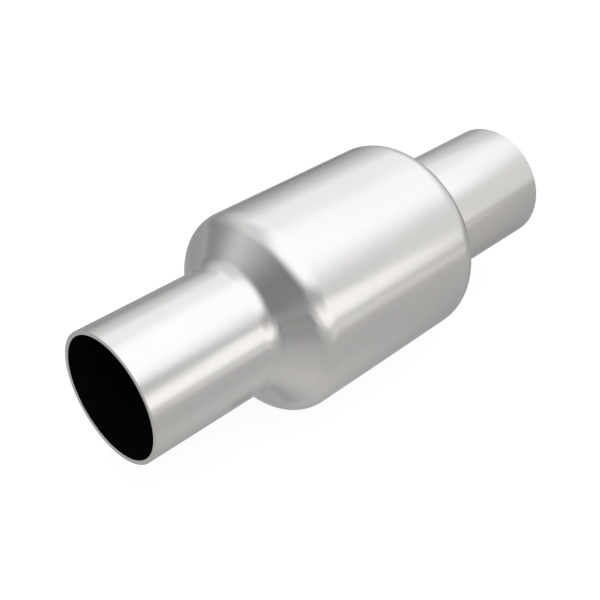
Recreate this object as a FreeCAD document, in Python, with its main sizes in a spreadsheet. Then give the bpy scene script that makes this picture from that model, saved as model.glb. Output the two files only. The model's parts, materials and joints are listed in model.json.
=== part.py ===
import FreeCAD, Part
import math
import os
import Sketcher

# Round catalytic converter, spun from one tube.
# Frame: X is the gas flow, inlet at -X and outlet at +X. Z is up. The origin is on the axis at the
# middle of the body, so the part is the same on both sides of the YZ plane. All sizes in millimetres.

doc = FreeCAD.newDocument("CatalyticConverter")

# Driving dimensions: alias, value, what it measures.
SIZES = [
    ("body_od", "101.6", "outer diameter of the body"),
    ("body_wall", "1.5", "wall of the tube that the shell is spun from"),
    ("body_straight", "89.6", "length of the body between the two shoulder arcs"),
    ("shoulder_radius", "12.0", "outside radius between body and cone"),
    ("cone_length", "25.4", "along the axis, from the end of the straight body to the start of the neck"),
    ("neck_bend_radius", "10.0", "outside radius between cone and neck"),
    ("neck_od", "63.5", "outer diameter of both necks"),
    ("neck_wall", "2.1", "wall of the neck, which thickens as the tube is spun down"),
    ("neck_straight", "62.8", "length of each straight neck"),
    ("mat_thickness", "2.8", "mounting mat as it is pressed between brick and shell"),
    ("brick_setback", "6.7", "from the end of the straight body back to the brick"),
    ("brick_lip", "3.0", "how far the brick stands out of the seal at each end"),
    ("brick_skin", "1.5", "solid skin round the channels"),
    ("channel_pitch", "8.0", "from one channel to the next"),
    ("channel_web", "1.2", "wall between two channels"),
    ("seal_width", "5.0", "knitted wire seal at each edge of the mat"),
    ("seam_gap", "0.8", "gap between the two ends of the wrapped mat"),
    ("tongue_width", "20.0", "tongue of the mat's lapped ends, along the axis"),
    ("tongue_reach", "12.0", "how far the tongue reaches into the other end"),
]

sheet = doc.addObject("Spreadsheet::Sheet", "Dimensions")
for row, (alias, value, meaning) in enumerate(SIZES, start=1):
    sheet.set(f"A{row}", alias)
    sheet.set(f"B{row}", value)
    sheet.setAlias(f"B{row}", alias)
    sheet.set(f"C{row}", meaning)
doc.recompute()

# Lengths that follow from the driving ones, as formulas of the sheet.
BODY_RADIUS = "Dimensions.body_od / 2"
NECK_RADIUS = "Dimensions.neck_od / 2"
INNER_RADIUS = f"({BODY_RADIUS} - Dimensions.body_wall)"
BRICK_RADIUS = f"({INNER_RADIUS} - Dimensions.mat_thickness)"
BRICK_LENGTH = "(Dimensions.body_straight - 2 * Dimensions.brick_setback)"
SEALED_LENGTH = f"({BRICK_LENGTH} - 2 * Dimensions.brick_lip)"
MAT_LENGTH = f"({SEALED_LENGTH} - 2 * Dimensions.seal_width)"

# How a constraint names the sketch's origin and vertical axis, counted down from -1, and the start,
# end and centre of a line or arc, counted up from 1.
ORIGIN, VERTICAL_AXIS = range(-1, -3, -1)
START, END, CENTRE = range(1, 4)


def size(formula):
    """Value of a formula of the sheet, for the first guess of a sketch."""
    return float(sheet.evalExpression(formula))


def plane(body, role):
    """One of the body's own origin planes."""
    return next(item for item in body.Origin.OriginFeatures if item.Role == role)


def new_sketch(body, name, role):
    """Empty sketch on an origin plane of the body."""
    sketch = body.newObject("Sketcher::SketchObject", name)
    sketch.AttachmentSupport = [(plane(body, role), "")]
    sketch.MapMode = "FlatFace"
    return sketch


def rule(sketch, *parts):
    """Geometric constraint, such as Tangent or Horizontal."""
    sketch.addConstraint(Sketcher.Constraint(*parts))


def dimension(sketch, name, formula, *parts):
    """Dimension of a sketch that follows a formula of the sheet."""
    index = sketch.addConstraint(Sketcher.Constraint(*parts, size(formula)))
    sketch.renameConstraint(index, name)
    sketch.setExpression(f"Constraints.{name}", formula)


def line(sketch, start, end):
    """Straight line between two points of the sketch plane."""
    first = FreeCAD.Vector(*start, 0)
    last = FreeCAD.Vector(*end, 0)
    return sketch.addGeometry(Part.LineSegment(first, last), False)


def arc(sketch, centre, radius, start_angle, end_angle):
    """Arc, anticlockwise from one angle to the other."""
    circle = Part.Circle(FreeCAD.Vector(*centre, 0), FreeCAD.Vector(0, 0, 1), radius)
    return sketch.addGeometry(Part.ArcOfCircle(circle, start_angle, end_angle), False)


def guide_circle(sketch, outer_arc, centre, radius):
    """Construction circle about the centre of an arc."""
    circle = Part.Circle(FreeCAD.Vector(*centre, 0), FreeCAD.Vector(0, 0, 1), radius)
    index = sketch.addGeometry(circle, True)
    rule(sketch, "Coincident", index, CENTRE, outer_arc, CENTRE)
    return index


def corner(sketch, first, second):
    """The end of one line meets the start of the next."""
    rule(sketch, "Coincident", first, END, second, START)


def revolved(body, name, sketch):
    """The sketch turned once round the flow axis."""
    turn = body.newObject("PartDesign::Revolution", name)
    turn.Profile = sketch
    turn.ReferenceAxis = (sketch, ["H_Axis"])
    turn.Angle = 360
    body.Tip = turn
    doc.recompute()
    return turn


def cross_tangent(upper, upper_radius, lower, lower_radius):
    """Angle of the normal of the line that runs from the right of one circle to the left of the other."""
    across = lower[0] - upper[0]
    down = lower[1] - upper[1]
    turn = math.acos((upper_radius + lower_radius) / math.hypot(across, down))
    return math.atan2(down, across) + turn


def around(centre, radius, angle):
    """Point of a circle at an angle."""
    return (centre[0] + radius * math.cos(angle), centre[1] + radius * math.sin(angle))


def outer_line(sketch, shoulder, shoulder_radius, bend, bend_radius, rim):
    """Outside of the shell, from the middle of the body to the rim: body, shoulder, cone, bend, neck."""
    lean = cross_tangent(shoulder, shoulder_radius, bend, bend_radius)
    body_height = shoulder[1] + shoulder_radius
    neck_height = bend[1] - bend_radius
    cone_start = around(shoulder, shoulder_radius, lean)
    cone_end = around(bend, bend_radius, lean + math.pi)
    body_line = line(sketch, (0, body_height), (shoulder[0], body_height))
    shoulder_arc = arc(sketch, shoulder, shoulder_radius, lean, math.pi / 2)
    cone_line = line(sketch, cone_start, cone_end)
    bend_arc = arc(sketch, bend, bend_radius, lean + math.pi, 3 * math.pi / 2)
    neck_line = line(sketch, (bend[0], neck_height), (rim, neck_height))
    rule(sketch, "Horizontal", body_line)
    rule(sketch, "Horizontal", neck_line)
    rule(sketch, "Tangent", body_line, END, shoulder_arc, END)
    rule(sketch, "Tangent", shoulder_arc, START, cone_line, START)
    rule(sketch, "Tangent", cone_line, END, bend_arc, START)
    rule(sketch, "Tangent", bend_arc, END, neck_line, START)
    return body_line, shoulder_arc, bend_arc, neck_line


def flat_on_bend(sketch, flat, before, after, outer_arc, centre, radius, corner_radius):
    """Makes a flat and its two neighbours touch one circle about the outer arc's centre, evenly."""
    touched = guide_circle(sketch, outer_arc, centre, radius)
    through = guide_circle(sketch, outer_arc, centre, corner_radius)
    for side in (before, flat, after):
        rule(sketch, "Tangent", side, touched)
    rule(sketch, "PointOnObject", flat, START, through)
    rule(sketch, "PointOnObject", flat, END, through)


def inner_line(sketch, shoulder, shoulder_radius, bend, bend_radius, rim, shoulder_arc, bend_arc):
    """Gas side of the shell. Where the outside has an arc, one flat touches a circle about its centre."""
    lean = cross_tangent(shoulder, shoulder_radius, bend, bend_radius)
    quarter = (math.pi / 2 - lean) / 4
    shoulder_corner = shoulder_radius / math.cos(quarter)
    bend_corner = bend_radius / math.cos(quarter)
    body_height = shoulder[1] + shoulder_radius
    neck_height = bend[1] - bend_radius
    points = [
        (0, body_height),
        around(shoulder, shoulder_corner, math.pi / 2 - quarter),
        around(shoulder, shoulder_corner, lean + quarter),
        around(bend, bend_corner, lean + math.pi + quarter),
        around(bend, bend_corner, 3 * math.pi / 2 - quarter),
        (rim, neck_height),
    ]
    sides = [line(sketch, start, end) for start, end in zip(points, points[1:])]
    for first, second in zip(sides, sides[1:]):
        corner(sketch, first, second)
    body_line, shoulder_flat, cone_line, bend_flat, neck_line = sides
    rule(sketch, "Horizontal", body_line)
    rule(sketch, "Horizontal", neck_line)
    flat_on_bend(sketch, shoulder_flat, body_line, cone_line, shoulder_arc, shoulder, shoulder_radius,
                 shoulder_corner)
    flat_on_bend(sketch, bend_flat, cone_line, neck_line, bend_arc, bend, bend_radius, bend_corner)
    return body_line, neck_line


def make_shell():
    """Spun shell: half section of one end, turned round the axis and mirrored."""
    body = doc.addObject("PartDesign::Body", "Shell")
    body.Label = "shell"
    sketch = new_sketch(body, "HalfSection", "XZ_Plane")

    # Both sides of the wall bend about the same centres, so it runs evenly from body_wall to neck_wall.
    shoulder_radius = size("Dimensions.shoulder_radius")
    bend_radius = size("Dimensions.neck_bend_radius")
    body_wall = size("Dimensions.body_wall")
    neck_wall = size("Dimensions.neck_wall")
    body_end = size("Dimensions.body_straight / 2")
    neck_start = body_end + size("Dimensions.cone_length")
    rim = neck_start + size("Dimensions.neck_straight")
    shoulder = (body_end, size(BODY_RADIUS) - shoulder_radius)
    bend = (neck_start, size(NECK_RADIUS) + bend_radius)
    outer_body, shoulder_arc, bend_arc, outer_neck = outer_line(
        sketch, shoulder, shoulder_radius, bend, bend_radius, rim)
    inner_body, inner_neck = inner_line(
        sketch, shoulder, shoulder_radius - body_wall, bend, bend_radius + neck_wall, rim,
        shoulder_arc, bend_arc)
    middle = line(sketch, (0, size(INNER_RADIUS)), (0, size(BODY_RADIUS)))
    mouth = line(sketch, (rim, size(NECK_RADIUS)), (rim, size(NECK_RADIUS) - neck_wall))

    rule(sketch, "Vertical", middle)
    rule(sketch, "Vertical", mouth)
    rule(sketch, "Coincident", middle, START, inner_body, START)
    rule(sketch, "Coincident", middle, END, outer_body, START)
    rule(sketch, "Coincident", mouth, START, outer_neck, END)
    rule(sketch, "Coincident", mouth, END, inner_neck, END)
    rule(sketch, "PointOnObject", outer_body, START, VERTICAL_AXIS)

    dimension(sketch, "body_height", BODY_RADIUS, "DistanceY", ORIGIN, START, outer_body, START)
    dimension(sketch, "wall_of_body", "Dimensions.body_wall", "DistanceY", middle, START, middle, END)
    half_body = "Dimensions.body_straight / 2"
    dimension(sketch, "half_body", half_body, "DistanceX", ORIGIN, START, outer_body, END)
    dimension(sketch, "shoulder", "Dimensions.shoulder_radius", "Radius", shoulder_arc)
    dimension(sketch, "cone", "Dimensions.cone_length", "DistanceX", outer_body, END, outer_neck, START)
    dimension(sketch, "bend", "Dimensions.neck_bend_radius", "Radius", bend_arc)
    dimension(sketch, "neck_height", NECK_RADIUS, "DistanceY", ORIGIN, START, outer_neck, END)
    dimension(sketch, "neck", "Dimensions.neck_straight", "DistanceX", outer_neck, START, outer_neck, END)
    dimension(sketch, "wall_of_neck", "Dimensions.neck_wall", "DistanceY", mouth, END, mouth, START)
    doc.recompute()
    end = revolved(body, "SpunEnd", sketch)

    both = body.newObject("PartDesign::Mirrored", "BothEnds")
    both.Originals = [end]
    both.MirrorPlane = (plane(body, "YZ_Plane"), [""])
    body.Tip = both
    return body


def make_brick():
    """Ceramic honeycomb: one section of square channels in a round skin, drawn out along the axis."""
    radius = size(BRICK_RADIUS)
    inside = radius - size("Dimensions.brick_skin")
    pitch = size("Dimensions.channel_pitch")
    web = size("Dimensions.channel_web")
    opening = pitch - web
    axis = FreeCAD.Vector(1, 0, 0)
    centre = FreeCAD.Vector(0, 0, 0)
    skin_disc = Part.Face(Part.Wire(Part.makeCircle(inside, centre, axis)))
    wires = [Part.Wire(Part.makeCircle(radius, centre, axis))]

    # Two webs cross on the axis. A channel that the skin cuts to less than a third stays solid.
    least_area = opening * opening / 3
    reach = int(inside / pitch) + 1
    for column in range(-reach, reach):
        for row in range(-reach, reach):
            left = column * pitch + web / 2
            low = row * pitch + web / 2
            right = left + opening
            high = low + opening
            corners = [(left, low), (right, low), (right, high), (left, high)]
            far = max(math.hypot(*point) for point in corners)
            near = min(math.hypot(*point) for point in corners)
            if near > inside:
                continue
            square = Part.makePolygon([FreeCAD.Vector(0, y, z) for y, z in corners + corners[:1]])
            if far < inside:
                wires.append(square)
                continue
            trimmed = Part.Face(square).common(skin_disc)
            if trimmed.Area > least_area:
                wires.append(trimmed.Faces[0].OuterWire)

    section = doc.addObject("Part::Feature", "BrickSection")
    section.Shape = Part.makeFace(wires, "Part::FaceMakerBullseye")
    brick = doc.addObject("Part::Extrusion", "Brick")
    brick.Label = "substrate"
    brick.Base = section
    brick.DirMode = "Custom"
    brick.Dir = axis
    brick.Solid = True
    brick.Symmetric = True
    brick.setExpression("LengthFwd", BRICK_LENGTH)
    return brick


def ring_section(body, start, length, formula):
    """Section of a ring that fills the gap between brick and shell, and its bottom line."""
    low = size(BRICK_RADIUS)
    high = size(INNER_RADIUS)
    sketch = new_sketch(body, "RingSection", "XZ_Plane")
    points = [(start, low), (start + length, low), (start + length, high), (start, high)]
    sides = [line(sketch, first, last) for first, last in zip(points, points[1:] + points[:1])]
    for first, second in zip(sides, sides[1:] + sides[:1]):
        corner(sketch, first, second)
    bottom, right, top, left = sides
    rule(sketch, "Horizontal", top)
    rule(sketch, "Vertical", right)
    rule(sketch, "Vertical", left)
    dimension(sketch, "length", formula, "DistanceX", bottom, START, bottom, END)
    dimension(sketch, "brick", BRICK_RADIUS, "DistanceY", ORIGIN, START, bottom, START)
    dimension(sketch, "thickness", "Dimensions.mat_thickness", "DistanceY", right, START, right, END)
    return sketch, bottom


def make_mat():
    """Mounting mat: a sleeve round the brick, open along a seam with a tongue and a groove."""
    body = doc.addObject("PartDesign::Body", "Mat")
    body.Label = "support_mat"
    half = size(MAT_LENGTH) / 2
    sketch, bottom = ring_section(body, -half, 2 * half, MAT_LENGTH)
    rule(sketch, "Symmetric", bottom, START, bottom, END, VERTICAL_AXIS)
    doc.recompute()
    sleeve = revolved(body, "Sleeve", sketch)

    # The seam is on top. It is as wide as seam_gap all along, and runs past both edges of the mat.
    gap = size("Dimensions.seam_gap")
    tongue = size("Dimensions.tongue_width") / 2
    reach = size("Dimensions.tongue_reach")
    groove = tongue + gap
    out = half + gap
    tongue_side = [(-out, -gap / 2), (-tongue, -gap / 2), (-tongue, reach - gap / 2),
                   (tongue, reach - gap / 2), (tongue, -gap / 2), (out, -gap / 2)]
    groove_side = [(out, gap / 2), (groove, gap / 2), (groove, reach + gap / 2),
                   (-groove, reach + gap / 2), (-groove, gap / 2), (-out, gap / 2)]
    points = tongue_side + groove_side
    seam = new_sketch(body, "SeamOutline", "XY_Plane")
    sides = [line(seam, start, end) for start, end in zip(points, points[1:] + points[:1])]
    for first, second in zip(sides, sides[1:] + sides[:1]):
        corner(seam, first, second)
    low_left, tongue_left, tongue_tip, tongue_right, low_right, right_end = sides[:6]
    high_right, groove_right, groove_floor, groove_left, high_left, left_end = sides[6:]
    for side in (low_left, low_right, high_right, high_left):
        rule(seam, "Horizontal", side)
    for side in (tongue_left, tongue_right, right_end, groove_right, groove_left, left_end):
        rule(seam, "Vertical", side)
    rule(seam, "Symmetric", tongue_tip, START, tongue_tip, END, VERTICAL_AXIS)
    rule(seam, "Symmetric", groove_floor, START, groove_floor, END, VERTICAL_AXIS)
    rule(seam, "Symmetric", low_left, START, low_right, END, VERTICAL_AXIS)
    overall = f"{MAT_LENGTH} + 2 * Dimensions.seam_gap"
    groove_width = "Dimensions.tongue_width + 2 * Dimensions.seam_gap"
    dimension(seam, "overall", overall, "DistanceX", low_left, START, low_right, END)
    dimension(seam, "centred", "Dimensions.seam_gap / 2", "DistanceY", low_left, START, ORIGIN, START)
    dimension(seam, "left_gap", "Dimensions.seam_gap", "DistanceY", left_end, END, left_end, START)
    dimension(seam, "right_gap", "Dimensions.seam_gap", "DistanceY", right_end, START, right_end, END)
    dimension(seam, "tongue", "Dimensions.tongue_width", "DistanceX", tongue_tip, START, tongue_tip, END)
    dimension(seam, "reach", "Dimensions.tongue_reach", "DistanceY", tongue_left, START, tongue_left, END)
    dimension(seam, "groove", groove_width, "DistanceX", groove_floor, END, groove_floor, START)
    dimension(seam, "floor_gap", "Dimensions.seam_gap", "DistanceY", tongue_tip, START, groove_floor, END)
    doc.recompute()
    cut = body.newObject("PartDesign::Pocket", "Seam")
    cut.Profile = seam
    cut.Type = "ThroughAll"
    cut.Reversed = True
    body.Tip = cut
    doc.recompute()
    if cut.Shape.Volume >= sleeve.Shape.Volume:
        raise RuntimeError("the seam of the mat cuts nothing")
    return body


def make_seal(name, label, turn):
    """Knitted wire ring pressed into the gap at one edge of the mat: +X, turned about Z."""
    body = doc.addObject("PartDesign::Body", name)
    body.Label = label
    mat_edge = f"{MAT_LENGTH} / 2"
    width = "Dimensions.seal_width"
    sketch, bottom = ring_section(body, size(mat_edge), size(width), width)
    rule(sketch, "Horizontal", bottom)
    dimension(sketch, "mat_edge", mat_edge, "DistanceX", ORIGIN, START, bottom, START)
    doc.recompute()
    revolved(body, "Ring", sketch)
    up = FreeCAD.Vector(0, 0, 1)
    body.Placement = FreeCAD.Placement(FreeCAD.Vector(0, 0, 0), FreeCAD.Rotation(up, turn))
    return body


pieces = [
    make_shell(),
    make_brick(),
    make_mat(),
    make_seal("InletSeal", "inlet_seal", 180),
    make_seal("OutletSeal", "outlet_seal", 0),
]
doc.recompute()

for item in doc.Objects:
    if "Invalid" in item.State or "Error" in item.State:
        raise RuntimeError(f"{item.Label} failed: {item.State}")
for piece in pieces:
    if piece.Shape.isNull() or not piece.Shape.isValid():
        raise RuntimeError(f"{piece.Label} has no valid solid")

os.makedirs("parts", exist_ok=True)
for piece in pieces:
    piece.Shape.exportStep(os.path.join("parts", f"{piece.Label}.step"))
    print(f"{piece.Label}: {len(piece.Shape.Solids)} solid, {piece.Shape.Volume / 1000:.2f} cm3")
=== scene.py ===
# %% [markdown]
# A round catalytic converter, as it leaves the spinning lathe. It is one steel tube, squeezed down at
# both ends into a cone and a straight neck. Inside sit a ceramic honeycomb, the mat that holds it, and a
# knitted wire ring at each edge of the mat.
#
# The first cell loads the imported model. It is the fixed frame: X runs along the gas flow, Z is up, and
# the origin is on the axis at the middle of the body. Everything below is in metres, in that frame.

# %% Load the frame
import json
import math
import random

import bpy
import numpy as np
from mathutils import Matrix, Vector
from mathutils.geometry import delaunay_2d_cdt


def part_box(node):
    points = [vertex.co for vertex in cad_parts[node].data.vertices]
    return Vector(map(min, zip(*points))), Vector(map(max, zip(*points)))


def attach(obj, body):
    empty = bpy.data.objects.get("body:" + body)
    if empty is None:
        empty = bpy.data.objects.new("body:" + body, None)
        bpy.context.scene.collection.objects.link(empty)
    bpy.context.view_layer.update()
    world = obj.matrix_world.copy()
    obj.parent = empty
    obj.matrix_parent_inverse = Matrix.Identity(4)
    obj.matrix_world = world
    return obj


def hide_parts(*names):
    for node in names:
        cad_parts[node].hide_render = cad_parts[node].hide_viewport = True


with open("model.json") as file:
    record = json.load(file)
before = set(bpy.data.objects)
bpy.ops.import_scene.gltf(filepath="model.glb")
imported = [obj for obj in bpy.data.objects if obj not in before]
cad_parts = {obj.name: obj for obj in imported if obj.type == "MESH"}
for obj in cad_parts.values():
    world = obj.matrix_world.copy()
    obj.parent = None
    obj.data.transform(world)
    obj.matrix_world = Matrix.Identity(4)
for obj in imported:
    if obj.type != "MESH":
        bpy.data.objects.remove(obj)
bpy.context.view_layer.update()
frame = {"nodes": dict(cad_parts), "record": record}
MM = 0.001
print("nodes:", ", ".join(sorted(frame["nodes"])))

# %% [markdown]
# The main sizes come from the frame, so that the dressed parts fit the plain ones. The necks and their
# bores are mounts, and the record holds their radii. The boxes of the nodes give the rest.

# %% Read the main sizes
mounts = {mount["name"]: mount["dims"] for mount in frame["record"]["mounts"]}
neck_radius = mounts["inlet_neck"]["r_mm"] * MM
bore_radius = mounts["inlet_bore"]["r_mm"] * MM
half_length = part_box("shell")[1].x
body_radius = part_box("shell")[1].z
brick_half, _, brick_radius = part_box("substrate")[1]
mat_half, _, wall_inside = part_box("support_mat")[1]
seal_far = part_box("outlet_seal")[1].x
print(f"radii in mm: body {body_radius / MM:.2f}, neck {neck_radius / MM:.2f}, bore {bore_radius / MM:.2f}")

# %% [markdown]
# A few small helpers are used all through the file. One makes an object from points and faces, and puts
# it on the one body of this part. One says where a point of a circle is. One lays points along an arc,
# because every bend of a spun shell is an arc.

# %% Helpers for meshes
def piece(name, points, faces, slot, *nodes):
    """Mesh object that rides on the part and stands for CAD nodes, which it hides. Its slot is not used."""
    mesh = bpy.data.meshes.new(name)
    mesh.from_pydata([tuple(point) for point in points], [], faces)
    mesh.validate()
    made = bpy.data.objects.new(name, mesh)
    bpy.context.scene.collection.objects.link(made)
    mesh.polygons.foreach_set("use_smooth", [True] * len(mesh.polygons))
    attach(made, "root")
    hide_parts(*nodes)
    print(f"{name}: {sum(len(face) - 2 for face in faces)} triangles")
    return made


def on_circle(centre, radius, angle):
    """Point of a circle in the plane of the section: along the axis, and out from it."""
    return (centre[0] + radius * math.cos(angle), centre[1] + radius * math.sin(angle))


def arc(centre, radius, first, last, steps):
    """Points along an arc, both ends included."""
    angles = np.linspace(first, last, steps + 1)
    return [on_circle(centre, radius, angle) for angle in angles]


# %% [markdown]
# The shell's section has three kinds of line: straight body, straight cone and straight neck, with an arc
# at the shoulder and an arc at the neck. The cone touches both arcs. Its slope isn't typed in. It follows
# from the two circles, by the same rule that a belt crossed between two pulleys follows.
#
# Both sides of the wall bend about the same centres, so the wall thickens evenly from body to neck, as
# steel does when it is squeezed into a smaller ring. The plain model has flats on the gas side of the
# bends, and here they are the true arcs.

# %% Draw the section of the shell
body_wall = body_radius - wall_inside
neck_wall = neck_radius - bore_radius
shoulder_radius = 12 * MM
neck_bend_radius = 10 * MM
body_straight = 89.6 * MM
neck_straight = 62.8 * MM
ARC_STEPS = 18

shoulder = (body_straight / 2, body_radius - shoulder_radius)
neck_bend = (half_length - neck_straight, neck_radius + neck_bend_radius)


def cone_lean(shoulder_size, bend_size):
    """Angle of the cone's normal, where the cone touches the shoulder circle and the bend circle."""
    along = neck_bend[0] - shoulder[0]
    rise = neck_bend[1] - shoulder[1]
    return math.atan2(rise, along) + math.acos((shoulder_size + bend_size) / math.hypot(along, rise))


def half_profile(shoulder_size, bend_size):
    """One face of the wall from the middle of the body to the neck: shoulder arc, cone, neck arc."""
    lean = cone_lean(shoulder_size, bend_size)
    over = arc(shoulder, shoulder_size, math.pi / 2, lean, ARC_STEPS)
    under = arc(neck_bend, bend_size, lean + math.pi, 1.5 * math.pi, ARC_STEPS)
    return over + under


outside = half_profile(shoulder_radius, neck_bend_radius)
inside = half_profile(shoulder_radius - body_wall, neck_bend_radius + neck_wall)
lean = math.degrees(cone_lean(shoulder_radius, neck_bend_radius))
print(f"cone {90 - lean:.1f} degrees to the axis, wall {body_wall / MM:.1f} to {neck_wall / MM:.1f} mm")

# %% [markdown]
# The mouth is where the tube was cut off and deburred. Each edge of the cut has a small rounding. It
# catches a hair of light, which the eye reads as thickness, so it is worth four short faces.

# %% Round the edges of the mouth
deburr = 0.2 * MM
DEBURR_STEPS = 4
outer_edge = arc((half_length - deburr, neck_radius - deburr), deburr, math.pi / 2, 0, DEBURR_STEPS)
inner_edge = arc((half_length - deburr, bore_radius + deburr), deburr, 0, -math.pi / 2, DEBURR_STEPS)
half_outside = outside + outer_edge
half_inside = inner_edge + inside[::-1]


def mirrored(points):
    """The same run of points at the inlet end, in the order that goes on round the section."""
    return [(-along, out) for along, out in reversed(points)]


section = half_outside + half_inside + mirrored(half_inside) + mirrored(half_outside)
print(f"{len(section)} points round the section")

# %% [markdown]
# A lathe is one loop of code: the closed section is copied at equal steps round the axis, and each copy
# is joined to the next. A screw or spin modifier does the same. Written out, it also says which faces
# belong to the gas side, and those get the second material.

# %% Spin the shell
SHELL_STEPS = 256


def lathe(profile, steps):
    """Closed ring of quads from a closed profile, turned round the X axis."""
    points = []
    for step in range(steps):
        angle = 2 * math.pi * step / steps
        points += [(along, out * math.cos(angle), out * math.sin(angle)) for along, out in profile]
    count = len(profile)
    faces = []
    for step in range(steps):
        here = step * count
        there = (step + 1) % steps * count
        for k in range(count):
            after = (k + 1) % count
            faces.append((here + k, here + after, there + after, there + k))
    return points, faces


shell = piece("spun_shell", *lathe(section, SHELL_STEPS), "spun_stainless", "shell")
first_inner = len(half_outside) + DEBURR_STEPS
last_inner = len(half_outside) + 2 * len(half_inside) - DEBURR_STEPS - 1
is_inner = [first_inner <= k < last_inner for k in range(len(section))]
shell.data.polygons.foreach_set("material_index", is_inner * SHELL_STEPS)
print(f"{sum(is_inner) * SHELL_STEPS} faces on the gas side")

# %% [markdown]
# The brick of a real converter has about 400 channels to the square inch, with walls a sixth of a
# millimetre thin. The plain model has coarse channels, because it has to stay light. Here the real grid
# replaces it. The brick is extruded as one long log with a round skin, so the channels at the edge are
# cut by the skin, and the smallest of them are filled.
#
# Each channel is a square of the grid. Where it reaches into the skin, it is trimmed to the skin's inner
# circle, by cutting it with one straight line after another.

# %% Lay out the channels
CHANNEL_PITCH = 1.27 * MM
CHANNEL_WALL = 0.17 * MM
SKIN = 0.6 * MM
SKIN_STEPS = 180
SMALLEST_SHARE = 0.2
reach = int(brick_radius / CHANNEL_PITCH) + 1
turns = [2 * math.pi * k / SKIN_STEPS for k in range(SKIN_STEPS)]
channel_side = CHANNEL_PITCH - CHANNEL_WALL


def channel_square(column, row):
    """Four corners of a channel, anticlockwise seen from +X."""
    low_y = column * CHANNEL_PITCH + CHANNEL_WALL / 2
    low_z = row * CHANNEL_PITCH + CHANNEL_WALL / 2
    high_y = low_y + channel_side
    high_z = low_z + channel_side
    return [(low_y, low_z), (high_y, low_z), (high_y, high_z), (low_y, high_z)]


def cut(outline, turn, limit):
    """Part of an outline that isn't further out than a limit, measured towards a direction."""
    y, z = math.cos(turn), math.sin(turn)
    kept = []
    for spot, after in zip(outline, outline[1:] + outline[:1]):
        here = limit - spot[0] * y - spot[1] * z
        there = limit - after[0] * y - after[1] * z
        if here >= 0:
            kept.append(spot)
        if here * there < 0:
            part = here / (here - there)
            kept.append((spot[0] + (after[0] - spot[0]) * part, spot[1] + (after[1] - spot[1]) * part))
    return kept


def trimmed(outline):
    """A channel, cut where it reaches into the skin."""
    limit = brick_radius - SKIN
    for turn in turns:
        if max(y * math.cos(turn) + z * math.sin(turn) for y, z in outline) > limit:
            outline = cut(outline, turn, limit)
        if len(outline) < 3:
            return []
    return outline


def area(outline):
    return sum(a[0] * b[1] - b[0] * a[1] for a, b in zip(outline, outline[1:] + outline[:1])) / 2


def is_large(outline):
    return len(outline) > 2 and area(outline) > SMALLEST_SHARE * channel_side ** 2


grid = [(column, row) for column in range(-reach, reach) for row in range(-reach, reach)]
channels = [outline for outline in (trimmed(channel_square(*place)) for place in grid) if is_large(outline)]
cut_channels = sum(len(outline) > 4 for outline in channels)
print(f"{len(channels)} channels, {cut_channels} of them cut to five sides or more")

# %% [markdown]
# The end face is everything inside the skin's circle that isn't a channel. A constrained triangulation
# finds it: it gets the circle and all the channels as outlines, and tells for each triangle which of them
# it lies in. The same triangles close both ends, and the channels' walls join them.
#
# An array modifier could repeat one cell, but it would leave double walls where two cells meet, and it
# couldn't cut the ones at the edge.

# %% Build the honeycomb
circle = [(brick_radius * math.cos(turn), brick_radius * math.sin(turn)) for turn in turns]
outlines = [circle] + channels
flat_points = [Vector(spot) for outline in outlines for spot in outline]
starts = np.cumsum([0] + [len(outline) for outline in outlines])
rings = [list(range(first, first + len(outline))) for first, outline in zip(starts, outlines)]
TRIANGLES_WITH_HOLES = 0
face_points, _, triangles, _, _, inside_of = delaunay_2d_cdt(
    flat_points, [], rings, TRIANGLES_WITH_HOLES, channel_side * 1e-3)
count = len(face_points)
web = [tuple(triangle) for triangle, owners in zip(triangles, inside_of) if owners == [0]]
brick_points = [(end * brick_half, point.x, point.y) for end in (-1, 1) for point in face_points]
brick_faces = [tuple(k + count for k in triangle) for triangle in web]
brick_faces += [triangle[::-1] for triangle in web]


def open_edges(faces):
    """Edges with a face on one side only, in that face's order."""
    edges = [(face[k], face[(k + 1) % len(face)]) for face in faces for k in range(len(face))]
    known = set(edges)
    return [edge for edge in edges if edge[::-1] not in known]


brick_faces += [(b + count, a + count, a, b) for a, b in open_edges(web)]
brick = piece("honeycomb_brick", brick_points, brick_faces, "cordierite", "substrate")
brick.data.polygons.foreach_set("use_smooth", [False] * len(brick.data.polygons))

# %% [markdown]
# The mat is a felt of ceramic fibre with flakes of mica, wrapped once round the brick. It is made flat
# and then rolled up, as the real one is: small cells on a sheet, left out where the seam with its tongue
# runs, and bent round the brick. Its faces wander a little, as pressed felt does. The wandering only goes
# inward from the space that it fills, so it never enters the brick or the shell.

# %% Roll the mat
MAT_CELL = 1.5 * MM
seam_gap = 0.8 * MM
tongue_half = 10 * MM
tongue_reach = 12 * MM
FELT_DEPTH = 0.18 * MM
random.seed(7)

mat_round = 2 * math.pi * wall_inside


def lines_between(stops):
    """Grid lines through all the stops, evenly spread at about one cell apart between them."""
    lines = [stops[0]]
    for low, high in zip(stops, stops[1:]):
        count = max(1, round((high - low) / MAT_CELL))
        lines += [low + (high - low) * k / count for k in range(1, count + 1)]
    return lines


low_gap = -seam_gap / 2
high_gap = seam_gap / 2
across_lines = lines_between([low_gap, high_gap, tongue_reach + low_gap, tongue_reach + high_gap,
                              mat_round + low_gap])
groove_half = tongue_half + seam_gap
along_lines = lines_between([-mat_half, -groove_half, -tongue_half, tongue_half, groove_half, mat_half])


def in_seam(along, across):
    """True where the seam is: a gap that steps sideways round the tongue."""
    if abs(along) > groove_half:
        return across < high_gap
    if abs(along) > tongue_half:
        return across < tongue_reach + high_gap
    return tongue_reach + low_gap < across < tongue_reach + high_gap


def mat_cell_is_kept(i, j):
    """True where felt fills a cell of the flat sheet."""
    along = (along_lines[i] + along_lines[i + 1]) / 2
    across = (across_lines[j] + across_lines[j + 1]) / 2
    return not in_seam(along, across)


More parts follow.
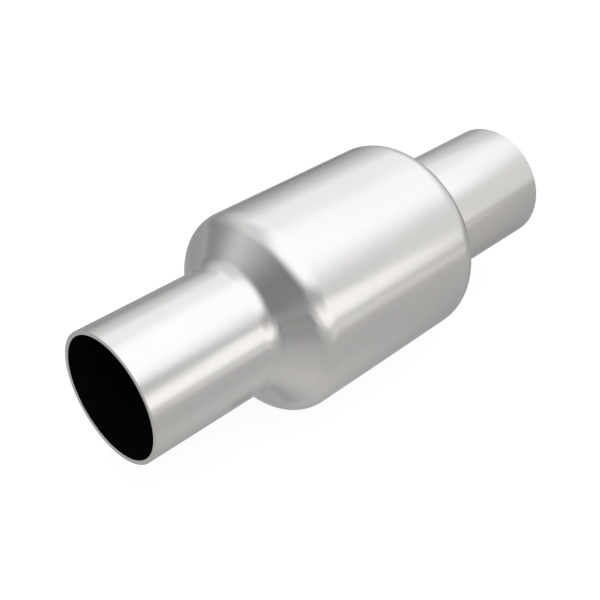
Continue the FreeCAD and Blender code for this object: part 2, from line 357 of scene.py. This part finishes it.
kept = {(i, j) for i in range(len(along_lines) - 1) for j in range(len(across_lines) - 1)
        if mat_cell_is_kept(i, j)}
print(f"{len(kept)} cells of felt")

# %% [markdown]
# Rolling the sheet up is a change of coordinates: the way across the sheet becomes an angle round the
# axis, and the two ends meet at the top, where the seam is. Each point is made once and looked up after
# that, so that neighbouring cells share it. A cell gets a face on its outer and its inner side, and a
# narrow one wherever its neighbour was left out.

# %% Bend the sheet into a sleeve
mat_points = []
mat_faces = []
mat_known = {}
last_across = len(across_lines) - 1


def felt_point(i, j, side):
    """Point of the inner (0) or outer (1) face, with a small random dent."""
    key = (i, j % last_across, side)
    if key not in mat_known:
        angle = math.pi / 2 - across_lines[j % last_across] / wall_inside
        dent = random.random() * FELT_DEPTH
        out = wall_inside - dent if side else brick_radius + dent
        mat_known[key] = len(mat_points)
        mat_points.append((along_lines[i], out * math.cos(angle), out * math.sin(angle)))
    return mat_known[key]


# The way to each neighbour of a cell, and the two corners of the cell's side that faces it.
SIDES_OF_CELL = {
    (-1, 0): ((0, 1), (0, 0)),
    (1, 0): ((1, 0), (1, 1)),
    (0, -1): ((0, 0), (1, 0)),
    (0, 1): ((1, 1), (0, 1)),
}
for i, j in sorted(kept):
    loop = [(i, j), (i + 1, j), (i + 1, j + 1), (i, j + 1)]
    mat_faces.append([felt_point(*spot, 1) for spot in reversed(loop)])
    mat_faces.append([felt_point(*spot, 0) for spot in loop])
    for (di, dj), (a, b) in SIDES_OF_CELL.items():
        beside = (i + di, (j + dj) % last_across)
        if beside not in kept:
            first = (i + a[0], j + a[1])
            last = (i + b[0], j + b[1])
            mat_faces.append([felt_point(*last, 1), felt_point(*first, 1), felt_point(*first, 0),
                              felt_point(*last, 0)])
mat = piece("mat_sleeve", mat_points, mat_faces, "intumescent_mat", "support_mat")

# %% [markdown]
# The two seals are knitted steel wire. Each row of the knitting is a wavy line that hooks over the row
# below it, and a jersey stitch can be written with three sines: one carries the loop forward and back,
# one lifts it, and one dips it behind the next row. The rows lie side by side round the small rectangle
# of the seal's section, and each runs once round the brick.
#
# A real seal is knitted as a sock and pressed into a ring, with far more stitches than this. The count
# here is what a reader can still make out, and it keeps the mesh light.

# %% Describe the knitting
WIRE_RADIUS = 0.14 * MM
STITCHES = 150
POINTS_PER_STITCH = 9
ROWS = 13
WIRE_SIDES = 4
LOOP_LEAN = 0.25
ROW_REACH = 1.3


def on_rectangle(share, width, height):
    """Point and outward direction at a share of the way round a rectangle."""
    corners = [(0, 0), (1, 0), (1, 1), (0, 1), (0, 0)]
    lengths = [width, height, width, height]
    normals = [(0, -1), (1, 0), (0, 1), (-1, 0)]
    left = share % 1 * 2 * (width + height)
    for start, end, length, normal in zip(corners, corners[1:], lengths, normals):
        if left <= length:
            part = left / length
            spot = [a + (b - a) * part for a, b in zip(start, end)]
            return (spot[0] * width, spot[1] * height), normal
        left -= length
    return (0, 0), normals[0]


print(f"{STITCHES * ROWS} stitches in each seal")

# %% [markdown]
# The wire itself is a thin tube that follows the line. A curve with a bevel would make the same tube, but
# then its faces come only when the scene is evaluated. Written out, the mesh is there at once, and its
# triangles can be counted. Four sides are enough for a wire of this size, because it is shaded round.
#
# To know which way is sideways, the tube compares its direction with a fixed one, aslant to every stitch.

# %% Knit the seals
ASLANT = Vector((1, 0.3, 0.2))
SEAL_MARGIN = 2.2 * WIRE_RADIUS


def wire_line(row, x_low, x_high, r_low, r_high):
    """Centre line of one row of stitches, as points of the frame."""
    points = []
    for step in range(STITCHES * POINTS_PER_STITCH):
        turn = 2 * math.pi * step / POINTS_PER_STITCH
        share = (row + ROW_REACH / 2 * math.cos(turn)) / ROWS
        (along, out), normal = on_rectangle(share, x_high - x_low, r_high - r_low)
        dip = WIRE_RADIUS * math.cos(2 * turn)
        around = (step / POINTS_PER_STITCH + LOOP_LEAN * math.sin(2 * turn)) * 2 * math.pi / STITCHES
        x = x_low + along + normal[0] * dip
        r = r_low + out + normal[1] * dip
        points.append(Vector((x, r * math.cos(around), r * math.sin(around))))
    return points


def wire_tube(centre_line, first):
    """Points and faces of a thin closed tube along a closed line, numbered from first."""
    count = len(centre_line)
    points = []
    faces = []
    for k, spot in enumerate(centre_line):
        ahead = (centre_line[(k + 1) % count] - centre_line[k - 1]).normalized()
        side = ahead.cross(ASLANT).normalized()
        up = side.cross(ahead)
        for s in range(WIRE_SIDES):
            angle = 2 * math.pi * s / WIRE_SIDES
            points.append(spot + WIRE_RADIUS * (math.cos(angle) * side + math.sin(angle) * up))
            a = first + k * WIRE_SIDES + s
            b = first + k * WIRE_SIDES + (s + 1) % WIRE_SIDES
            c = first + (k + 1) % count * WIRE_SIDES + (s + 1) % WIRE_SIDES
            d = first + (k + 1) % count * WIRE_SIDES + s
            faces.append((a, b, c, d))
    return points, faces


def knit_seal(name, node, x_low, x_high):
    """All the rows of one seal, kept a wire's thickness inside the plain ring."""
    x_span = (x_low + SEAL_MARGIN, x_high - SEAL_MARGIN)
    r_span = (brick_radius + SEAL_MARGIN, wall_inside - SEAL_MARGIN)
    points = []
    faces = []
    for row in range(ROWS):
        line = wire_line(row, *x_span, *r_span)
        more_points, more_faces = wire_tube(line, len(points))
        points += more_points
        faces += more_faces
    return piece(name, points, faces, "knitted_wire", node)


outlet_knit = knit_seal("outlet_seal_knit", "outlet_seal", mat_half, seal_far)
inlet_knit = knit_seal("inlet_seal_knit", "inlet_seal", -seal_far, -mat_half)

# %% [markdown]
# Now the finishes. Each is a small graph of shader nodes. Five helpers keep the graphs short: one starts a
# material, one adds a noise that can be stretched along an axis, one spreads a noise over a range, one
# blends two colours, and one adds a bump to those that are there.
#
# Stretching matters here. A tool that presses on turning steel leaves rings, so the noise has to change
# quickly along the axis and hardly at all round it.
#
# A noise runs from 0 to 1, but it is nearly always between 0.3 and 0.7, so that part is what gets spread.

# %% Helpers for finishes
MICRON = 1e-6
USUAL_LOW = 0.3
USUAL_HIGH = 0.7


def start_finish(name):
    """New material with its graph, its main shader, and object coordinates."""
    material = bpy.data.materials.new(name)
    material.use_nodes = True
    graph = material.node_tree
    shader = graph.nodes["Principled BSDF"]
    where = graph.nodes.new("ShaderNodeTexCoord").outputs["Object"]
    return material, graph, shader, where


def noise(graph, where, stretch, detail=2.0):
    """Noise with that many waves to the metre along each axis."""
    mapping = graph.nodes.new("ShaderNodeMapping")
    mapping.inputs["Scale"].default_value = stretch
    graph.links.new(where, mapping.inputs["Vector"])
    texture = graph.nodes.new("ShaderNodeTexNoise")
    texture.inputs["Scale"].default_value = 1.0
    texture.inputs["Detail"].default_value = detail
    graph.links.new(mapping.outputs["Vector"], texture.inputs["Vector"])
    return texture.outputs["Fac"]


def spread(graph, value, low, high):
    """The middle part of a noise, spread from low to high."""
    node = graph.nodes.new("ShaderNodeMapRange")
    node.inputs["From Min"].default_value = USUAL_LOW
    node.inputs["From Max"].default_value = USUAL_HIGH
    node.inputs["To Min"].default_value = low
    node.inputs["To Max"].default_value = high
    graph.links.new(value, node.inputs["Value"])
    return node.outputs["Result"]


def blend_colour(graph, value, first, second):
    """Colour between two, by a value from 0 to 1."""
    node = graph.nodes.new("ShaderNodeMix")
    node.data_type = "RGBA"
    node.inputs["A"].default_value = (*first, 1)
    node.inputs["B"].default_value = (*second, 1)
    graph.links.new(value, node.inputs["Factor"])
    return node.outputs["Result"]


def bump(graph, shader, height, depth):
    """Adds a height, in metres, to what bump the shader already has."""
    node = graph.nodes.new("ShaderNodeBump")
    node.inputs["Strength"].default_value = 1.0
    node.inputs["Distance"].default_value = depth
    graph.links.new(height, node.inputs["Height"])
    if shader.inputs["Normal"].is_linked:
        graph.links.new(shader.inputs["Normal"].links[0].from_socket, node.inputs["Normal"])
    graph.links.new(node.outputs["Normal"], shader.inputs["Normal"])


# %% [markdown]
# Spun stainless is a satin metal. It isn't painted, so its colour is the tint of its reflections: a light
# grey, a touch warm. The fine rings blur a reflection along the axis, and the lines of the spinning
# roller lie a little further apart. A slower noise moves the tint, because no tool presses evenly.
#
# A metal shader gets brighter towards its outline. Real stainless has a thin oxide, which holds that
# back, and the edge tint does the same here.

# %% Spun stainless, outside
STEEL_GREY = (0.612, 0.600, 0.588)
STEEL_LIGHT = (0.640, 0.622, 0.604)
OXIDE_EDGE = (0.7, 0.7, 0.7, 1)
FINE_RINGS = (2400, 9, 9)
ROLLER_LINES = (900, 6, 6)
SLOW_WAVES = (60, 26, 26)


def satin_spun_steel():
    """Light grey metal with rings round the axis."""
    material, graph, shader, where = start_finish("satin_spun_steel")
    shader.inputs["Metallic"].default_value = 1.0
    shader.inputs["Specular Tint"].default_value = OXIDE_EDGE
    clouds = noise(graph, where, (14, 22, 22))
    colour = blend_colour(graph, spread(graph, clouds, 0, 1), STEEL_GREY, STEEL_LIGHT)
    graph.links.new(colour, shader.inputs["Base Color"])
    rings = noise(graph, where, FINE_RINGS, 3.0)
    graph.links.new(spread(graph, rings, 0.19, 0.225), shader.inputs["Roughness"])
    bump(graph, shader, rings, 0.5 * MICRON)
    bump(graph, shader, noise(graph, where, ROLLER_LINES), 2 * MICRON)
    bump(graph, shader, noise(graph, where, SLOW_WAVES), 12 * MICRON)
    return material


# %% [markdown]
# The gas side is painted nearly black, as painted shade, so that it looks dark through the mouth. What
# little light comes back is dull. It is not one flat black: a noise makes some places a shade browner.

# %% Painted shade on the gas side
# Painted shade: the gas side is coloured nearly black so that it looks dark through the mouth.
PAINTED_SHADE_BLACK = (0.0016, 0.0016, 0.0017)
PAINTED_SHADE_BROWN = (0.0042, 0.0038, 0.0034)


def painted_shade_steel():
    """Nearly black and dull, with a fine bump: painted shade on the gas side."""
    material, graph, shader, where = start_finish("painted_shade_steel")
    clouds = noise(graph, where, (90, 120, 120), 5.0)
    colour = blend_colour(graph, spread(graph, clouds, 0, 1), PAINTED_SHADE_BLACK, PAINTED_SHADE_BROWN)
    graph.links.new(colour, shader.inputs["Base Color"])
    graph.links.new(spread(graph, clouds, 0.85, 0.98), shader.inputs["Roughness"])
    shader.inputs["Specular IOR Level"].default_value = 0.02
    bump(graph, shader, noise(graph, where, (1500, 1500, 1500), 4.0), 20 * MICRON)
    return material


shell.data.materials.append(satin_spun_steel())
shell.data.materials.append(painted_shade_steel())
print("shell:", [slot.name for slot in shell.data.materials])

# %% [markdown]
# Cordierite with its coating is a dry, dull ceramic the colour of weak tea. Its bump is very fine, so the
# walls look grainy only up close.

# %% Ceramic
WEAK_TEA = (0.38, 0.34, 0.285)
PALE_TEA = (0.48, 0.44, 0.38)


def coated_cordierite():
    """Dry ceramic with a dull coating."""
    material, graph, shader, where = start_finish("coated_cordierite")
    clouds = noise(graph, where, (160, 260, 260), 5.0)
    colour = blend_colour(graph, spread(graph, clouds, 0, 1), WEAK_TEA, PALE_TEA)
    graph.links.new(colour, shader.inputs["Base Color"])
    graph.links.new(spread(graph, clouds, 0.82, 0.95), shader.inputs["Roughness"])
    shader.inputs["Specular IOR Level"].default_value = 0.25
    bump(graph, shader, noise(graph, where, (6000, 6000, 6000), 4.0), 12 * MICRON)
    return material


brick.data.materials.append(coated_cordierite())
print("brick:", brick.data.materials[0].name)

# %% [markdown]
# The mat is off-white felt with flakes of mica pressed into it. A voronoi texture cuts space into angular
# cells, and gives each a random colour. Cells whose random number is high become flakes, so their shapes
# and sizes differ. The fibres are the thin lines where a twisted noise crosses its middle value.

# %% Felt with flakes of mica
FLAKE_CELLS = (800, 1150, 1150)
FLAKES_ABOVE = 0.82
FIBRE_TWIST = 2.5
FIBRE_WIDTH = 0.05
FELT_SHADE = (0.66, 0.62, 0.54)
FELT_FIBRE = (0.80, 0.77, 0.70)
MICA_GOLD = (0.55, 0.42, 0.23)
MICA_DARK = (0.27, 0.19, 0.10)
BLACK = (0, 0, 0)


def flake_cells(graph, where):
    """How much a spot belongs to a flake, from 0 to 1, and how dark that flake is."""
    cells = graph.nodes.new("ShaderNodeTexVoronoi")
    cells.inputs["Scale"].default_value = 1.0
    mapping = graph.nodes.new("ShaderNodeMapping")
    mapping.inputs["Scale"].default_value = FLAKE_CELLS
    graph.links.new(where, mapping.inputs["Vector"])
    graph.links.new(mapping.outputs["Vector"], cells.inputs["Vector"])
    split = graph.nodes.new("ShaderNodeSeparateColor")
    graph.links.new(cells.outputs["Color"], split.inputs["Color"])
    chosen = graph.nodes.new("ShaderNodeMath")
    chosen.operation = "GREATER_THAN"
    chosen.inputs[1].default_value = FLAKES_ABOVE
    graph.links.new(split.outputs["Red"], chosen.inputs[0])
    return chosen.outputs[0], split.outputs["Green"]


def fibre_lines(graph, where):
    """1 on thin curly lines, 0 between them."""
    twisted = noise(graph, where, (900, 700, 700), 4.0)
    twisted.node.inputs["Distortion"].default_value = FIBRE_TWIST
    offset = graph.nodes.new("ShaderNodeMath")
    offset.operation = "SUBTRACT"
    offset.inputs[1].default_value = 0.5
    graph.links.new(twisted, offset.inputs[0])
    distance = graph.nodes.new("ShaderNodeMath")
    distance.operation = "ABSOLUTE"
    graph.links.new(offset.outputs[0], distance.inputs[0])
    line = graph.nodes.new("ShaderNodeMapRange")
    line.inputs["From Min"].default_value = FIBRE_WIDTH
    line.inputs["From Max"].default_value = 0.0
    graph.links.new(distance.outputs[0], line.inputs["Value"])
    return line.outputs["Result"]


def ceramic_felt():
    """Felt everywhere, and mica where a cell was chosen."""
    material, graph, shader, where = start_finish("ceramic_felt")
    in_flake, darkness = flake_cells(graph, where)
    fibres = fibre_lines(graph, where)
    felt = blend_colour(graph, fibres, FELT_SHADE, FELT_FIBRE)
    mica = blend_colour(graph, darkness, MICA_GOLD, MICA_DARK)
    colour = blend_colour(graph, in_flake, BLACK, BLACK)
    graph.links.new(felt, colour.node.inputs["A"])
    graph.links.new(mica, colour.node.inputs["B"])
    graph.links.new(colour, shader.inputs["Base Color"])
    shader.inputs["Roughness"].default_value = 0.92
    shader.inputs["Sheen Weight"].default_value = 0.3
    bump(graph, shader, noise(graph, where, (350, 350, 350), 3.0), 500 * MICRON)
    bump(graph, shader, fibres, 60 * MICRON)
    return material


mat.data.materials.append(ceramic_felt())
print("mat:", mat.data.materials[0].name)

# %% [markdown]
# The wire is plain drawn stainless, brighter than the spun shell. A die draws it smooth, so its roughness
# changes only a little from place to place. Both seals share the one material.

# %% Drawn wire
WIRE_DARK = (0.46, 0.45, 0.44)
WIRE_BRIGHT = (0.60, 0.59, 0.57)


def drawn_wire():
    """Smooth metal with faint marks."""
    material, graph, shader, where = start_finish("drawn_wire")
    shader.inputs["Metallic"].default_value = 1.0
    clouds = noise(graph, where, (300, 300, 300), 3.0)
    colour = blend_colour(graph, spread(graph, clouds, 0, 1), WIRE_DARK, WIRE_BRIGHT)
    graph.links.new(colour, shader.inputs["Base Color"])
    graph.links.new(spread(graph, clouds, 0.26, 0.42), shader.inputs["Roughness"])
    bump(graph, shader, noise(graph, where, (5000, 5000, 5000)), 4 * MICRON)
    return material


wire_finish = drawn_wire()
outlet_knit.data.materials.append(wire_finish)
inlet_knit.data.materials.append(wire_finish)
print("finishes:", ", ".join(sorted(material.name for material in bpy.data.materials)))

# %% [markdown]
# The camera stands where the photographer's did: 45 degrees round from the side, and 35 degrees up. Those
# two make the view isometric, but the lens is a normal one, so the near neck looks larger than the far
# one. The camera looks a little beside the part's origin, because the part isn't centred in the picture.

# %% Camera
PICTURE_SIZE = 600
view_azimuth = math.radians(-44.8)
view_elevation = math.radians(35.56)
view_distance = 493 * MM
aim_right = -14.13 * MM
aim_up = -13.03 * MM
focal_pixels = 992.2

right = Vector((math.cos(view_azimuth), math.sin(view_azimuth), 0))
back = Vector((math.sin(view_azimuth) * math.cos(view_elevation),
               -math.cos(view_azimuth) * math.cos(view_elevation), math.sin(view_elevation)))
up = back.cross(right)
lens = bpy.data.cameras.new("camera")
camera = bpy.data.objects.new("camera", lens)
bpy.context.scene.collection.objects.link(camera)
lens.sensor_width = 36
lens.lens = focal_pixels * lens.sensor_width / PICTURE_SIZE
place_of_eye = aim_right * right + aim_up * up + view_distance * back
camera.matrix_world = Matrix.Translation(place_of_eye) @ Matrix((right, up, back)).transposed().to_4x4()
bpy.context.scene.camera = camera
bpy.context.scene.view_settings.view_transform = "Standard"
print(f"lens {lens.lens:.1f} mm at {view_distance:.3f} m")

# %% [markdown]
# Satin metal shows the room more than itself, so the studio is most of the picture. The world is plain
# white to the eye and in reflections. Diffuse light gets half of that, so that the softboxes do most of
# the lighting. The light path node tells the rays apart.

# %% World
def seen_directly(graph):
    """1 for rays from the camera and for reflected or refracted ones, 0 for the rest."""
    path = graph.nodes.new("ShaderNodeLightPath")
    total = path.outputs["Is Camera Ray"]
    for name in ("Is Glossy Ray", "Is Transmission Ray"):
        adding = graph.nodes.new("ShaderNodeMath")
        adding.operation = "MAXIMUM"
        graph.links.new(total, adding.inputs[0])
        graph.links.new(path.outputs[name], adding.inputs[1])
        total = adding.outputs[0]
    return total


def level_for(graph, shown, hidden):
    """Strength that is one number for seen rays and another for the rest."""
    node = graph.nodes.new("ShaderNodeMapRange")
    node.inputs["To Min"].default_value = hidden
    node.inputs["To Max"].default_value = shown
    graph.links.new(seen_directly(graph), node.inputs["Value"])
    return node.outputs["Result"]


world = bpy.data.worlds.new("white_room")
world.use_nodes = True
bpy.context.scene.world = world
background = world.node_tree.nodes["Background"]
background.inputs["Color"].default_value = (1, 1, 1, 1)
world.node_tree.links.new(level_for(world.node_tree, shown=1.0, hidden=0.5), background.inputs["Strength"])
print("world:", world.name)

# %% [markdown]
# The part lies on a plain floor. Its paint is dark, so the light that falls on it adds little, and a
# glow of its own brings it up to white. What the part keeps from it in light is the faint shadow. For
# diffuse light the glow is weaker, or the floor would light the part from below as brightly as a lamp.

# %% Floor
FLOOR_SIZE = 12
FLOOR_SHADE = (0.105, 0.105, 0.105)
FLOOR_LIGHT = (0.115, 0.115, 0.115)


def stage_square(name, matrix, width, height):
    """Flat stage piece in the XY plane of a matrix."""
    mesh = bpy.data.meshes.new(name)
    corners = [(-1, -1), (1, -1), (1, 1), (-1, 1)]
    mesh.from_pydata([(a * width / 2, b * height / 2, 0) for a, b in corners], [], [(0, 1, 2, 3)])
    made = bpy.data.objects.new(name, mesh)
    bpy.context.scene.collection.objects.link(made)
    made.matrix_world = matrix
    return made


def pale_floor():
    """White by its own glow, with a little paint that takes the shadow."""
    material, graph, shader, where = start_finish("pale_floor")
    grain = noise(graph, where, (30, 30, 30))
    colour = blend_colour(graph, spread(graph, grain, 0, 1), FLOOR_SHADE, FLOOR_LIGHT)
    graph.links.new(colour, shader.inputs["Base Color"])
    shader.inputs["Roughness"].default_value = 1.0
    shader.inputs["Specular IOR Level"].default_value = 0.0
    shader.inputs["Emission Color"].default_value = (1, 1, 1, 1)
    graph.links.new(level_for(graph, shown=0.92, hidden=0.4), shader.inputs["Emission Strength"])
    return material


floor = stage_square("floor", Matrix.Translation((0, 0, -body_radius)), FLOOR_SIZE, FLOOR_SIZE)
floor.data.materials.append(pale_floor())
print(f"floor at {-body_radius / MM:.1f} mm")

# %% [markdown]
# Panels do the rest. A softbox is a bright panel, and a flag is a dark or grey one that gives the metal
# something to fall off into. They have soft edges, made in the material: the panel turns clear towards
# its rim. They stay out of the camera's sight, and the flags are there for reflections alone.
#
# An edge is a smooth step on a coordinate of the panel itself, so it takes no image and no UV map. One
# step rises from the low end of a span, one rises from its high end, and their product is 1 between them.

# %% Soft edges
def soft_span(graph, along, centre, size, softness):
    """1 inside a span, 0 outside it. Each end takes its share of the half span to fade."""
    both = graph.nodes.new("ShaderNodeMath")
    both.operation = "MULTIPLY"
    for k, half in enumerate((-size / 2, size / 2)):
        edge = graph.nodes.new("ShaderNodeMapRange")
        edge.interpolation_type = "SMOOTHSTEP"
        edge.inputs["From Min"].default_value = centre + half
        edge.inputs["From Max"].default_value = centre + half * (1 - softness)
        graph.links.new(along, edge.inputs["Value"])
        graph.links.new(edge.outputs["Result"], both.inputs[k])
    return both.outputs[0]


def soft_spot(graph, where, centre, size, softness):
    """1 in the middle of a rectangle, 0 outside it. The softness has a share for each of its sides."""
    split = graph.nodes.new("ShaderNodeSeparateXYZ")
    graph.links.new(where, split.inputs[0])
    both = graph.nodes.new("ShaderNodeMath")
    both.operation = "MULTIPLY"
    for axis in range(2):
        span = soft_span(graph, split.outputs[axis], centre[axis], size[axis], softness[axis])
        graph.links.new(span, both.inputs[axis])
    return both.outputs[0]


def soft_glow(name, size, fade, level, colour, spots=()):
    """Material that glows at a level, is clear towards its rim, and has spots of other levels."""
    material, graph, shader, where = start_finish(name)
    graph.nodes.remove(shader)
    glow = graph.nodes.new("ShaderNodeEmission")
    glow.inputs["Color"].default_value = (*colour, 1)
    glow.inputs["Strength"].default_value = level
    for centre, spot_size, spot_fade, spot_level in spots:
        mixing = graph.nodes.new("ShaderNodeMix")
        mixing.inputs["A"].default_value = level
        mixing.inputs["B"].default_value = spot_level
        if glow.inputs["Strength"].is_linked:
            graph.links.new(glow.inputs["Strength"].links[0].from_socket, mixing.inputs["A"])
        graph.links.new(soft_spot(graph, where, centre, spot_size, spot_fade), mixing.inputs["Factor"])
        graph.links.new(mixing.outputs["Result"], glow.inputs["Strength"])
    clear = graph.nodes.new("ShaderNodeBsdfTransparent")
    rim = graph.nodes.new("ShaderNodeMixShader")
    graph.links.new(soft_spot(graph, where, (0, 0), size, fade), rim.inputs["Fac"])
    graph.links.new(clear.outputs[0], rim.inputs[1])
    graph.links.new(glow.outputs[0], rim.inputs[2])
    graph.links.new(rim.outputs[0], graph.nodes["Material Output"].inputs["Surface"])
    return material


def keep_to_reflections(screen, is_lamp):
    """Hides a screen from the camera and from shadows, and from diffuse light unless it is a lamp."""
    screen.visible_camera = False
    screen.visible_shadow = False
    screen.visible_diffuse = is_lamp


# %% [markdown]
# A panel is placed as a studio hand would say it: so many degrees round, so many degrees up, that far
# away, turned to face the part and then rolled a little. Azimuth 0 is the way of the gas flow, and the
# camera stands at about -135. Sizes and distances are in metres.
#
# The top softbox makes the broad highlight along the body, and the strip makes the narrow streak below it.
# Both are lamps too. The other two light the band above the highlight, before the metal turns dark at its
# top edge.

# %% Softboxes
WHITE = (1, 1, 1)
COOL_WHITE = (0.987, 1, 1.024)
WARM_WHITE = (1.006, 1, 0.992)


def panel(name, azimuth, elevation, distance, size, fade, level, roll, colour=WHITE, lamp=False):
    """Panel that faces the part from an azimuth and elevation, rolled in its own plane, in degrees."""
    a = math.radians(azimuth)
    e = math.radians(elevation)
    outward = Vector((math.cos(a) * math.cos(e), math.sin(a) * math.cos(e), math.sin(e)))
    across = Vector((-math.sin(a), math.cos(a), 0))
    facing = Matrix((across, outward.cross(across), outward)).transposed()
    turned = facing @ Matrix.Rotation(math.radians(roll), 3, "Z")
    made = stage_square(name, Matrix.Translation(distance * outward) @ turned.to_4x4(), *size)
    made.data.materials.append(soft_glow(name, size, fade, level, colour))
    keep_to_reflections(made, lamp)
    print(f"{name}: {size[0]} by {size[1]} m at {distance} m, level {level}")


panel("top_softbox", azimuth=-94, elevation=74.3, distance=3.0, size=(8.75, 6.45), fade=(0.1, 0.73),
      level=1.60, roll=20, colour=COOL_WHITE, lamp=True)
panel("fill_softbox", azimuth=19, elevation=39, distance=3.2, size=(5.1, 2.85), fade=(0.75, 0.65),
      level=1.52, roll=9.5, colour=COOL_WHITE)
panel("back_softbox", azimuth=47.5, elevation=45.6, distance=2.9, size=(4.7, 1.4), fade=(0.75, 0.35),
      level=1.36, roll=26.5, colour=COOL_WHITE)
panel("strip_softbox", azimuth=-83.5, elevation=13.5, distance=3.4, size=(6.0, 2.5), fade=(0.34, 0.16),
      level=1.51, roll=-27.5, colour=WARM_WHITE, lamp=True)

# %% [markdown]
# The flags are grey rather than black. The one at the far side darkens the top edge of body and necks. The
# others stand behind the camera and beyond the near mouth. They are what the near cone and the bend below
# it show, and those are the darkest metal in the picture.

# %% Flags
panel("flag_behind_camera", azimuth=-113.5, elevation=30.1, distance=2.6, size=(10.4, 1.9), fade=(1, 1),
      level=0.45, roll=6)
panel("flag_far_side", azimuth=85, elevation=-5, distance=2.8, size=(10.0, 4.7), fade=(0.75, 1),
      level=0.37, roll=21)
panel("flag_left", azimuth=-172.5, elevation=21.5, distance=2.4, size=(7.3, 3.8), fade=(1, 1),
      level=0.24, roll=7.5)
panel("flag_at_mouth", azimuth=-177.5, elevation=10.5, distance=1.2, size=(0.9, 0.53), fade=(0.23, 0.3),
      level=0.30, roll=17)
panel("flag_under_mouth", azimuth=-143.5, elevation=-1.2, distance=0.9, size=(0.83, 0.16), fade=(0.8, 0.9),
      level=0.14, roll=-10.5)

# %% [markdown]
# Under the part lies a grey card, which only reflections see. The card isn't even: a pool of light lies
# beside the part on the camera's side, and it is darker beyond the part and to the right. To the left lies
# painted shade, and right under the bend at the near end of the body a painted shadow of the part.
#
# A spot is written as its centre, its size, its softness and its level. Later spots lie over earlier ones.

# %% Grey card
CARD_SIZE = (4.6, 6.0)
beyond_neck = ((-0.17, 0.48), (0.75, 0.85), (0.9, 0.55), 0.54)
beyond_body = ((0.36, 0.46), (0.33, 0.31), (0.5, 0.7), 0.13)
# Painted shade on the floor, to the left of the part.
painted_shade_left = ((-0.41, -0.21), (0.7, 0.27), (0.95, 0.43), 0.37)
light_pool = ((-0.04, -0.05), (0.26, 0.12), (0.75, 1), 0.74)
to_the_right = ((0.08, -0.014), (0.2, 0.086), (0.18, 0.96), 0.56)
far_glow = ((0.24, -0.52), (0.82, 0.5), (0.78, 0.1), 1.0)
# Painted shadow of the part on the floor, right under the bend.
painted_shadow_under_bend = ((-0.065, -0.043), (0.02, 0.05), (0.55, 0.37), 0.10)
spots = [painted_shadow_under_bend, beyond_neck, beyond_body, painted_shade_left, light_pool, to_the_right, far_glow]
card_height = 0.3 * MM - body_radius
card = stage_square("grey_card", Matrix.Translation((0, 0, card_height)), *CARD_SIZE)
card.data.materials.append(soft_glow("grey_card", CARD_SIZE, (0.1, 0.1), 0.63, WARM_WHITE, spots))
keep_to_reflections(card, False)
print(f"grey card with {len(spots)} soft spots")
